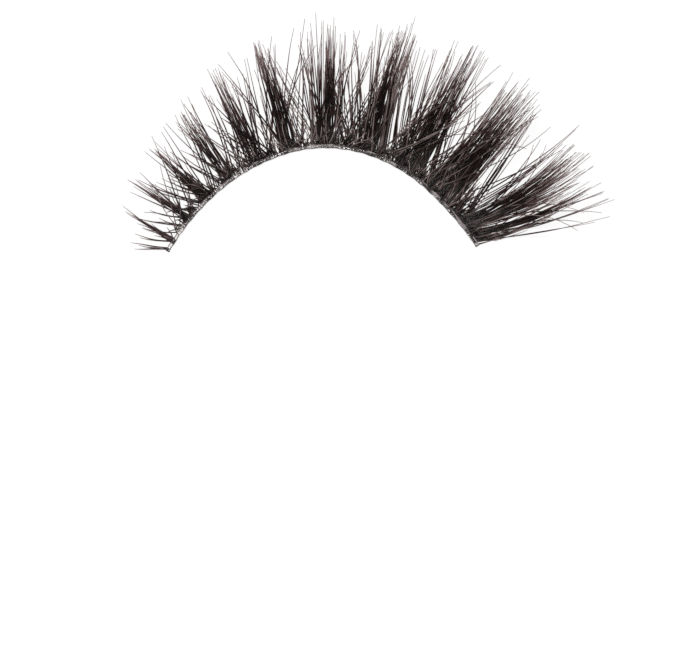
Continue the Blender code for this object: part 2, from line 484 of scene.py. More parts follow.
@dataclass
class HairMesh:
    """Collects hairs as arrays and joins them into one mesh of closed, tapering tubes."""

    sides: int = 5
    butt_cap: float = 0.6
    tip_cap: float = 2.0
    paths: List[np.ndarray] = field(default_factory=list)
    radii: List[np.ndarray] = field(default_factory=list)
    tints: List[float] = field(default_factory=list)

    def add(self, path: np.ndarray, radii: np.ndarray, tint: float) -> None:
        """Add one hair.

        Args:
            path: its points from root to tip, in millimetres.
            radii: its radius at each point.
            tint: how light it is, from 0 to 1.
        """
        self.paths.append(path)
        self.radii.append(radii)
        self.tints.append(tint)

    def skin(self, start: int, count: int) -> List[Tuple[int, ...]]:
        """Faces of one hair.

        Args:
            start: number of its first vertex.
            count: how many rings it has.

        Returns:
            The faces, as vertex numbers.
        """
        faces: List[Tuple[int, ...]] = []
        nexts = [(column, (column + 1) % self.sides) for column in range(self.sides)]
        for low in range(start, start + (count - 1) * self.sides, self.sides):
            high = low + self.sides
            faces.extend((low + a, high + a, high + b, low + b) for a, b in nexts)
        last = start + (count - 1) * self.sides
        root_at = last + self.sides
        for a, b in nexts:
            faces.append((start + a, start + b, root_at))
            faces.append((last + b, last + a, root_at + 1))
        return faces

    def build(self, name: str, finish: Material) -> Piece:
        """Join the hairs into an object.

        Args:
            name: the object's name.
            finish: its material.

        Returns:
            The object.
        """
        verts: List[np.ndarray] = []
        faces: List[Tuple[int, ...]] = []
        along: List[np.ndarray] = []
        tints: List[np.ndarray] = []
        angles = 2.0 * math.pi * np.arange(self.sides) / self.sides
        start = 0
        for path, radii, tint in zip(self.paths, self.radii, self.tints):
            count = len(path)
            tangent = np.gradient(path, axis=0)
            tangent /= np.linalg.norm(tangent, axis=1)[:, None]
            side = np.cross(tangent, np.array([0.0, 0.0, 1.0]))
            side /= np.linalg.norm(side, axis=1)[:, None]
            lift = np.cross(side, tangent)
            ring = (path[:, None, :]
                    + (radii[:, None] * np.cos(angles))[:, :, None] * side[:, None, :]
                    + (radii[:, None] * np.sin(angles))[:, :, None] * lift[:, None, :])
            root = path[0] - tangent[0] * radii[0] * self.butt_cap
            tip = path[-1] + tangent[-1] * radii[-1] * self.tip_cap
            verts.append(np.vstack([ring.reshape(-1, 3), root, tip]))
            share = np.linspace(0.0, 1.0, count)
            along.append(np.concatenate([np.repeat(share, self.sides), [0.0, 1.0]]))
            tints.append(np.full(count * self.sides + 2, tint))
            faces.extend(self.skin(start, count))
            start += count * self.sides + 2
        mesh = bpy.data.meshes.new(name)
        mesh.from_pydata((np.vstack(verts) * MM).tolist(), [], faces)
        for label, values in (("along", along), ("tint", tints)):
            layer = mesh.attributes.new(label, "FLOAT", "POINT")
            layer.data.foreach_set("value", np.concatenate(values).astype(np.float32))
        mesh.shade_smooth()
        mesh.materials.append(finish)
        made = bpy.data.objects.new(name, mesh)
        bpy.context.scene.collection.objects.link(made)
        return made


@dataclass(frozen=True)
class HairShape:
    """What one lash hair measures, and how one differs from the next.

    Pairs are the least and the most. The butt runs back into the band. The faded end
    is the last bit, too thin to show. The tip keeps some of its root's side in the
    lock and scatters about it, the more the shorter the hair. Towards the inner
    corner, over the pale run, the hairs get thicker and paler.
    """

    root_radius: float = 0.055
    tip_radius: float = 0.019
    thick_part: float = 0.45
    taper_power: float = 1.3
    butt_share: float = -0.04
    butt_run: float = 0.25
    butt_change: Pair = (-0.12, 0.04)
    points: int = 15
    faded_end: float = 0.25
    stray_lock: int = 3
    stray_lengths: Pair = (0.9, 1.0)
    lengths: Pair = (0.8, 1.0)
    short_lengths: Pair = (0.5, 0.8)
    kept_side: float = 0.5
    tip_scatter: float = 0.5
    loose_tip: float = 0.04
    loose_short_tip: float = 0.9
    pull: Pair = (0.0, 0.25)
    sway: float = 0.008
    sway_turn: float = 7.5
    sway_phase: float = 6.28
    curl: Pair = (0.98, 1.03)
    level_lift: float = 0.25
    lift_run: float = 0.4
    floor_radii: float = 1.2
    thickness: Pair = (0.78, 1.12)
    dark_tint: Pair = (0.0, 0.04)
    # Painted highlight: which of the highest hairs take the lighter colour, how much of it, and how
    # much thinner they are
    highlight_level: float = 0.6
    highlight_chance: float = 2.5
    highlight_tint: Pair = (0.35, 0.95)
    highlight_thickness: float = 0.80
    pale_run: float = 12.0
    pale_tint: float = 0.13
    pale_thickness: float = 0.12

    def shares(self) -> np.ndarray:
        """How far along the hair each point lies, the butt's end first."""
        return np.concatenate([[self.butt_share], np.linspace(0.0, 1.0, self.points - 1)])

    def taper(self, share: np.ndarray, thickness: float) -> np.ndarray:
        """Radius along a hair.

        Args:
            share: how far along the hair each point is, from 0 to 1.
            thickness: factor on the root's radius.

        Returns:
            The radii.
        """
        thin = np.clip((share - self.thick_part) / (1.0 - self.thick_part), 0.0, 1.0)
        root = self.root_radius * thickness
        return root + (self.tip_radius - root) * thin ** self.taper_power


HAIR = HairShape()


@dataclass(frozen=True)
class Lock:
    """A few hairs that leave one stretch of the band and end close together.

    The place and the width are along the band, the aim is the heading from the root
    to the tip, the reach is how far the tip lies from the band seen from above, the
    spread is the width of the tip, and the bow is how far the middle swings to the
    inner corner's side. The short hairs stop at between half and four fifths of the
    reach.
    """

    place: float
    width: float
    aim: float
    reach: float
    spread: float
    bow: float
    hairs: int
    short: int = 0

    def flat_path(self, root: float, end: float, length: float, pull: float,
                  sway: Pair, butt: float) -> np.ndarray:
        """Path of one hair seen from above.

        Args:
            root: where across the root it grows, from -1 to 1.
            end: how far beside the lock's own tip it ends.
            length: its length as a share of the lock's.
            pull: how strongly the lock draws its middle in, from 0 to 1.
            sway: size and phase of its slight waviness.
            butt: how far it runs on into the band.

        Returns:
            The flat points.
        """
        share = HAIR.shares()[:, None]
        foot = LID.beside(self.place + root * self.width / 2.0, LID.band_width)
        inward = LID.outward(self.place) * -butt
        way = heading_vector(self.aim)
        left = heading_vector(self.aim + 90.0)
        middle = LID.beside(self.place, LID.band_width)
        tip = middle + way * (self.reach + HAIR.faded_end) * length
        tip = tip - left * end
        straight = foot * (1.0 - share) + tip * share
        off_axis = (straight - middle) @ left
        swing = 4.0 * self.bow * share * (1.0 - share)
        swing = swing - pull * np.sin(np.pi * share) * off_axis[:, None]
        swing = swing + sway[0] * share * np.sin(HAIR.sway_turn * share + sway[1])
        path = straight + swing * left
        path[0] = foot + inward
        return path

    def grow(self, mesh: HairMesh, rng: np.random.Generator, growth: "Growth") -> None:
        """Grow the lock's hairs into a mesh.

        Args:
            mesh: what they are added to.
            rng: the source of their differences.
            growth: how its group grows.
        """
        lift = rng.uniform(*growth.lifts)
        paler = max(0.0, 1.0 - self.place / HAIR.pale_run)
        stray = self.hairs <= HAIR.stray_lock and self.short == 0
        full = HAIR.stray_lengths if stray else HAIR.lengths
        for count, lengths in ((self.hairs, full), (self.short, HAIR.short_lengths)):
            for index in range(count):
                root = -1.0 + 2.0 * (index + rng.uniform(0.0, 1.0)) / count
                length = rng.uniform(*lengths)
                end = HAIR.kept_side * root + rng.normal(0.0, HAIR.tip_scatter)
                end = end * self.spread / 2.0
                end += rng.normal(0.0, HAIR.loose_tip + HAIR.loose_short_tip * (1.0 - length))
                pull = rng.uniform(*HAIR.pull)
                sway = (rng.normal(0.0, HAIR.sway * self.reach), rng.uniform(0.0, HAIR.sway_phase))
                butt = HAIR.butt_run + rng.uniform(*HAIR.butt_change)
                flat = self.flat_path(root, end, length, pull, sway, butt)
                runs = np.linalg.norm(flat - flat[1], axis=1)
                runs = runs * np.where(HAIR.shares() < 0.0, 0.0, 1.0)
                level = rng.random()
                height = growth.heights[0] + (growth.heights[1] - growth.heights[0]) * level
                height = height + CURL.rise(runs, self.place, rng.uniform(*HAIR.curl))
                own_lift = lift + HAIR.level_lift * (level - 0.5)
                height = height + own_lift * eased(runs / (self.reach * HAIR.lift_run))
                lowest = HAIR.root_radius * HAIR.floor_radii
                path = np.column_stack([flat, np.maximum(height, lowest)])
                # Painted highlight: some hairs high in the strip take the lighter colour in place
                # of light they would catch; the others get their own random tone and the paler
                # inner corner
                chance = HAIR.highlight_chance * growth.lit
                bright = level > HAIR.highlight_level and rng.random() < chance
                thickness = rng.uniform(*HAIR.thickness)
                if bright:
                    thickness = thickness * HAIR.highlight_thickness
                    tint = rng.uniform(*HAIR.highlight_tint)
                else:
                    thickness = thickness * (1.0 + HAIR.pale_thickness * paler)
                    tint = rng.uniform(*HAIR.dark_tint) + HAIR.pale_tint * paler
                mesh.add(path, HAIR.taper(HAIR.shares(), thickness), tint)


@dataclass(frozen=True)
class Growth:
    """How a group of locks grows.

    The seed starts its random draws, the sides are those of a hair's section, the
    heights are the lowest and the highest root, the lifts are the least and the most
    that a lock rises above the common curl, and lit is how often a hair takes the
    painted highlight colour.
    """

    seed: int
    sides: int
    heights: Pair
    lifts: Pair
    lit: float

    def grow(self, name: str, group: Sequence[Lock], finish: Material) -> Piece:
        """Grow a group of locks as one piece.

        Args:
            name: the piece's name.
            group: the locks.
            finish: the hair's material.

        Returns:
            The piece.
        """
        rng = np.random.default_rng(self.seed)
        mesh = HairMesh(sides=self.sides)
        for lock in group:
            lock.grow(mesh, rng, self)
        return mesh.build(name, finish)


@dataclass(frozen=True)
class LashTuft:
    """One tapering tuft of lashes, in the place of one lash_cluster solid."""

    number: int
    locks: Tuple[Lock, ...]
    first_seed: int = 100

    @property
    def node(self) -> str:
        """Name of the solid that this tuft dresses."""
        return "lash_cluster_{:02d}".format(self.number)

    def build(self, finish: Material) -> Piece:
        """Grow the tuft's hairs."""
        growth = Growth(seed=self.first_seed + self.number, sides=5, heights=(0.07, 0.33),
                        lifts=(-0.05, 0.30), lit=0.12)
        return growth.grow(self.node + "_hairs", self.locks, finish)


@dataclass(frozen=True)
class LashFan:
    """The looser hairs that cross the gap between two tufts, at one height."""

    number: int
    layer: Layer
    locks: Tuple[Lock, ...]
    first_seed: int = 500
    root_spread: float = 0.04
    lift_spread: float = 0.15

    def build(self, finish: Material) -> Piece:
        """Grow the crossing hairs."""
        growth = Growth(seed=self.first_seed + self.number, sides=4, lit=self.layer.lit,
                        heights=self.layer.around(self.root_spread),
                        lifts=self.layer.around(self.lift_spread))
        return growth.grow("crossing_hairs_{:02d}".format(self.number), self.locks, finish)


@dataclass(frozen=True)
class KnotTails:
    """The short ends that stand out from the knots all along the band.

    The counts are those of the stretches, from the inner corner on. They began with
    the fit that is named above TUFTS, and some were then changed.
    """

    stretch: float = 1.5
    first: float = 1.8
    reach: float = 1.0
    fan: float = 2.6
    growth: Growth = Growth(
        seed=900, sides=4, heights=(0.08, 0.36), lifts=(0.0, 0.2), lit=0.1)
    counts: Tuple[int, ...] = (
        5, 7, 9, 13, 13, 11, 12, 14, 13, 10, 9, 9, 12, 9, 9, 9, 13, 10, 9, 11, 7)

    def build(self, finish: Material) -> Piece:
        """Grow the tails.

        Args:
            finish: the hair's material.

        Returns:
            Their object.
        """
        tails = []
        for number, count in enumerate(self.counts):
            place = self.first + number * self.stretch
            aim = LID.walk(place)[1] + 90.0
            tails.append(Lock(place, self.stretch, aim, self.reach, self.fan, 0.0, 0, count))
        return self.growth.grow("knot_tails", tails, finish)


def locks(*rows: Tuple[float, ...]) -> Tuple[Lock, ...]:
    """Turn rows into locks: place, width, aim, reach, spread, bow, hairs, short hairs."""
    return tuple(Lock(*row) for row in rows)


# The tufts, from the inner corner outwards. Most rows here and in FANS were read from the
# photo and then fitted to its darkness by a scratch program, so they aren't hand-made
TUFTS: Tuple[LashTuft, ...] = (
    LashTuft(1, locks(
        (0.0, 0.35, 172.8, 2.2, 0.2, 0.05, 1), (0.0, 0.26, 172.3, 3.0, 0.17, 0.04, 1),
        (0.0, 0.17, 179.3, 2.5, 0.1, 0.02, 1))),
    LashTuft(2, locks(
        (0.96, 0.43, 149.2, 4.5, 0.09, 0.0, 4, 2), (0.87, 0.17, 144.0, 4.9, 0.1, 0.17, 1),
        (0.84, 0.35, 147.8, 2.2, 0.09, 0.0, 3, 2))),
    LashTuft(3, locks(
        (3.25, 0.87, 146.0, 6.2, 0.09, 0.0, 1, 2), (3.25, 0.7, 148.4, 6.0, 0.18, 0.0, 1, 2),
        (3.28, 0.52, 153.0, 5.7, 0.17, 0.05, 1), (3.07, 0.43, 155.9, 5.3, 0.17, 0.0, 1),
        (3.35, 0.7, 141.3, 5.2, 0.13, 0.24, 1, 1), (3.2, 0.61, 137.0, 5.9, 0.19, 0.0, 1),
        (3.17, 0.7, 135.1, 5.0, 0.09, 0.0, 1, 1), (3.3, 0.7, 147.6, 5.6, 0.09, 0.0, 1, 1),
        (4.04, 0.52, 148.1, 4.0, 0.09, 0.59, 0, 1), (3.2, 0.87, 135.0, 2.4, 0.18, 0.0, 0, 1),
        (3.2, 0.8, 146.5, 5.7, 0.6, 0.0, 3))),
    LashTuft(4, locks(
        (5.33, 1.04, 136.1, 6.2, 0.09, 0.0, 3, 2), (5.4, 1.04, 137.2, 6.4, 0.09, 0.0, 3, 1),
        (5.31, 0.52, 140.9, 6.5, 0.1, 0.05, 1), (5.58, 0.87, 136.1, 6.2, 0.36, 0.0, 3, 1),
        (5.66, 0.87, 133.1, 6.2, 1.21, 0.06, 1), (5.92, 0.87, 141.6, 6.4, 0.13, 0.0, 2, 1),
        (6.15, 0.7, 136.5, 4.3, 0.09, 0.17, 1, 1), (5.77, 0.7, 152.2, 2.6, 0.09, -0.35, 2, 2),
        (5.79, 1.04, 143.9, 3.0, 0.25, -0.09, 2, 2))),
    LashTuft(5, locks(
        (7.82, 1.04, 123.5, 7.4, 0.09, -0.1, 5, 1), (8.27, 1.04, 123.5, 8.0, 0.94, 0.28, 2, 2),
        (7.85, 1.04, 115.1, 7.9, 0.22, 0.0, 3, 1), (8.41, 0.87, 122.6, 7.2, 0.09, 0.0, 4, 1),
        (8.38, 0.7, 116.1, 5.1, 0.09, 0.0, 0, 1), (7.62, 0.7, 112.1, 3.7, 1.04, -0.31, 0, 1),
        (8.0, 1.04, 110.5, 3.6, 0.36, -0.49, 0, 1), (8.15, 0.87, 117.4, 2.3, 0.15, -0.28, 3, 2))),
    LashTuft(6, locks(
        (10.28, 1.04, 114.3, 8.8, 0.09, 0.0, 4, 1), (10.76, 1.04, 116.6, 8.7, 0.92, 0.0, 4, 3),
        (10.68, 1.04, 112.2, 8.8, 0.09, 0.1, 4, 1), (10.76, 1.04, 113.7, 8.4, 1.34, 0.0, 3, 2),
        (11.17, 1.04, 117.5, 7.6, 0.19, -0.25, 3, 2), (11.22, 0.87, 110.7, 8.7, 0.09, 0.0, 1, 1),
        (11.09, 0.87, 105.7, 8.0, 0.27, 0.0, 1, 2), (11.8, 0.52, 127.9, 2.4, 0.17, 0.0, 2, 2),
        (10.58, 1.22, 106.1, 4.6, 0.87, -0.33, 1, 3), (11.4, 0.7, 120.4, 2.0, 1.02, 0.19, 2, 2))),
    LashTuft(7, locks(
        (12.9, 1.04, 103.7, 9.3, 0.65, 0.17, 2, 1), (13.2, 1.22, 104.6, 9.1, 0.09, 0.0, 3),
        (13.51, 1.22, 104.2, 9.4, 0.19, 0.0, 8), (13.56, 1.22, 106.2, 9.2, 0.74, -0.1, 8, 1),
        (13.96, 1.22, 105.9, 9.3, 0.74, -0.15, 6, 2), (13.93, 1.04, 103.9, 8.6, 0.15, -0.17, 5, 3),
        (14.5, 0.87, 108.6, 6.1, 0.09, 0.0, 1, 2), (13.5, 1.57, 100.2, 4.2, 0.31, 0.17, 1, 1),
        (14.54, 0.52, 119.9, 3.4, 0.27, 0.41, 1, 2), (13.53, 0.52, 92.2, 6.3, 0.09, 0.18, 2),
        (13.56, 1.39, 111.3, 4.6, 2.02, 0.17, 0, 2), (13.68, 1.39, 109.1, 2.7, 1.22, -0.12, 2, 3),
        (12.82, 1.04, 100.2, 3.5, 2.2, 0.17, 0, 1))),
    LashTuft(8, locks(
        (15.82, 0.35, 97.0, 10.2, 0.1, 0.05, 1), (16.22, 0.7, 94.3, 9.3, 0.09, -0.04, 2),
        (15.9, 0.5, 91.5, 10.2, 0.5, 0.0, 4), (16.38, 0.7, 94.6, 10.1, 0.22, 0.0, 2),
        (16.34, 0.87, 90.6, 11.0, 0.82, -0.04, 1), (16.42, 0.87, 89.1, 11.0, 0.09, 0.0, 4, 1),
        (16.91, 1.04, 88.2, 9.8, 0.09, 0.0, 6, 2), (16.95, 1.22, 88.4, 10.2, 0.09, 0.0, 8, 4),
        (17.33, 1.04, 88.3, 10.4, 0.18, 0.0, 7, 1), (17.19, 0.87, 91.5, 9.9, 0.09, -0.8, 0, 5),
        (17.74, 0.7, 86.0, 10.1, 0.09, -0.05, 4, 1), (17.87, 0.7, 84.9, 8.0, 0.09, 0.0, 2),
        (17.11, 0.35, 92.8, 8.9, 0.12, 0.51, 1), (16.6, 2.44, 90.2, 4.3, 0.19, -0.03, 0, 3),
        (16.57, 2.61, 89.9, 2.3, 0.73, 0.0, 3, 3), (18.4, 0.52, 61.6, 2.0, 0.09, -0.07, 2, 2),
        (18.61, 0.52, 108.1, 3.2, 0.09, 0.0, 2, 3), (16.62, 2.78, 82.5, 2.2, 2.44, -0.21, 2, 2))),
    LashTuft(9, locks(
        (20.36, 0.87, 86.8, 9.2, 0.13, 0.0, 2), (20.49, 0.87, 84.9, 10.6, 0.54, 0.05, 2),
        (20.56, 1.04, 83.1, 10.5, 0.09, 0.0, 5), (20.53, 1.04, 78.5, 10.8, 0.14, 0.49, 2),
        (20.79, 1.04, 81.3, 9.7, 0.78, -0.38, 4, 2), (20.76, 1.22, 77.3, 10.6, 0.82, 0.09, 3),
        (20.61, 1.22, 74.1, 10.3, 0.09, 0.43, 8), (20.97, 1.22, 74.4, 11.0, 0.09, 0.28, 11),
        (21.42, 1.04, 74.7, 11.8, 0.09, 0.17, 6, 8), (21.88, 0.87, 75.4, 10.4, 0.09, 0.26, 9),
        (22.74, 0.7, 79.9, 10.8, 0.17, 0.35, 2), (21.7, 0.6, 81.5, 10.3, 0.3, 0.0, 6),
        (19.97, 2.44, 69.5, 8.6, 2.44, 0.22, 8, 1), (20.0, 2.26, 70.0, 4.6, 0.29, 0.78, 4, 1),
        (19.77, 0.52, 78.7, 3.6, 0.09, 0.17, 4, 1), (20.06, 0.52, 78.2, 7.5, 0.09, 0.1, 2),
        (20.54, 1.74, 70.3, 6.1, 0.29, -0.24, 4, 1), (20.11, 1.39, 83.4, 3.1, 0.97, 0.1, 2, 2))),
    LashTuft(10, locks(
        (23.48, 1.04, 65.8, 9.7, 0.56, 0.23, 6), (24.01, 1.04, 69.0, 11.2, 0.09, 0.07, 5),
        (24.19, 1.04, 68.0, 11.3, 0.09, -0.17, 5), (23.88, 1.22, 62.0, 10.7, 0.09, 0.0, 9, 2),
        (24.52, 1.22, 63.2, 11.5, 0.23, 0.0, 13, 2), (25.01, 1.22, 64.3, 11.8, 0.09, -0.07, 9, 2),
        (25.08, 1.04, 61.0, 11.7, 0.09, 0.17, 5), (25.46, 0.87, 61.1, 12.0, 0.27, 0.0, 3),
        (26.19, 0.87, 73.6, 8.8, 0.09, -0.23, 3), (23.63, 2.44, 58.2, 8.4, 0.09, 0.1, 5, 4),
        (23.66, 2.26, 63.1, 3.6, 0.09, 0.21, 3, 3), (23.08, 0.52, 63.4, 2.8, 0.09, -0.21, 2, 2),
        (22.97, 0.52, 64.8, 2.8, 0.12, 0.11, 1, 2), (23.33, 0.52, 67.4, 8.0, 0.49, -0.12, 0, 1),
        (23.28, 1.39, 60.7, 4.6, 0.68, 0.19, 1, 2), (25.64, 1.04, 73.2, 8.0, 0.23, 0.26, 4),
        (23.64, 1.74, 66.6, 3.1, 0.42, 0.43, 1, 2))),
    LashTuft(11, locks(
        (27.11, 1.04, 56.1, 12.0, 0.09, -0.1, 5), (26.88, 1.22, 52.7, 10.9, 0.11, 0.0, 5),
        (27.26, 1.39, 52.6, 11.3, 0.19, 0.0, 12), (27.46, 1.39, 50.8, 11.3, 0.74, 0.0, 11, 2),
        (27.9, 1.39, 52.5, 12.1, 0.18, 0.1, 6, 3), (28.25, 1.22, 52.2, 12.1, 0.64, 0.0, 7, 3),
        (28.61, 1.22, 51.0, 12.0, 0.37, -0.04, 8, 1), (28.81, 1.04, 48.9, 11.6, 0.38, 0.0, 6, 2),
        (29.06, 0.87, 47.2, 10.7, 0.09, 0.0, 4), (28.31, 2.61, 51.4, 10.7, 0.55, 0.05, 11, 2),
        (26.76, 2.44, 43.8, 6.1, 0.18, 0.69, 1, 5), (26.61, 0.35, 22.9, 9.1, 0.09, 0.9, 1),
        (26.28, 0.52, 47.5, 4.6, 0.36, -0.06, 4, 3), (26.42, 0.52, 56.5, 6.1, 2.15, -0.05, 0, 1),
        (26.38, 0.52, 55.5, 8.8, 1.04, -0.11, 1, 1), (27.47, 2.44, 51.3, 8.6, 0.41, 0.24, 3),
        (27.06, 1.74, 57.5, 5.8, 0.35, 0.43, 1, 2), (28.86, 1.39, 57.4, 8.7, 0.6, -0.24, 4),
        (27.95, 2.09, 61.5, 4.1, 0.72, -0.49, 1, 3))),
    LashTuft(12, locks(
        (30.05, 0.87, 33.9, 10.9, 0.09, -0.43, 6), (30.51, 0.87, 33.6, 11.6, 0.09, -0.63, 8),
        (30.67, 1.04, 30.7, 11.6, 0.27, -0.52, 10, 1), (31.17, 1.04, 31.1, 11.8, 0.64, -0.7, 13, 2),
        (31.1, 0.87, 24.5, 11.7, 0.19, -0.52, 5), (31.3, 0.7, 28.1, 10.4, 0.27, -0.35, 7, 1),
        (31.02, 0.87, 19.7, 10.1, 1.06, -0.26, 3), (31.43, 0.26, 47.2, 10.3, 0.07, -1.03, 1),
        (30.71, 0.26, 41.3, 9.1, 0.07, -0.78, 1), (30.48, 0.7, 27.5, 5.4, 0.21, -0.28, 2),
        (31.19, 0.7, 28.2, 8.5, 0.09, -0.38, 4), (31.42, 0.7, 34.8, 11.0, 0.09, -0.48, 5),
        (30.71, 1.39, 28.3, 4.4, 2.44, -0.17, 0, 1), (31.2, 0.8, 29.0, 11.7, 1.2, -0.55, 5))),
    LashTuft(13, locks(
        (32.01, 0.61, 22.4, 11.2, 0.54, -0.51, 3, 1), (32.1, 0.4, 20.5, 9.2, 0.5, -0.45, 4),
        (31.91, 0.52, 19.8, 11.8, 0.09, -0.5, 7), (32.04, 0.52, 17.6, 11.5, 0.09, -0.26, 3),
        (32.08, 0.52, 14.3, 12.2, 0.62, -0.54, 3), (33.0, 0.43, 23.6, 8.7, 0.09, -0.35, 4),
        (31.37, 0.52, 20.7, 10.1, 1.11, -0.35, 7), (31.42, 0.35, 5.0, 11.9, 0.09, 0.87, 1),
        (32.03, 0.35, 11.2, 10.8, 0.09, -0.34, 1), (32.74, 0.17, 10.2, 11.6, 0.07, -0.17, 1),
        (32.79, 0.17, 9.3, 10.8, 0.07, -0.09, 1), (32.41, 0.26, 6.3, 9.4, 0.07, 0.81, 1),
        (32.6, 0.35, -1.4, 2.0, 0.1, 0.0, 3, 2), (32.59, 0.52, 16.7, 2.6, 0.09, -0.05, 3, 2),
        (32.36, 0.87, 32.2, 4.7, 0.18, -0.28, 1, 3), (32.62, 0.3, 17.5, 6.6, 0.45, -0.3, 6, 2),
        (32.3, 0.5, 19.6, 10.9, 0.8, -0.4, 4))),
)
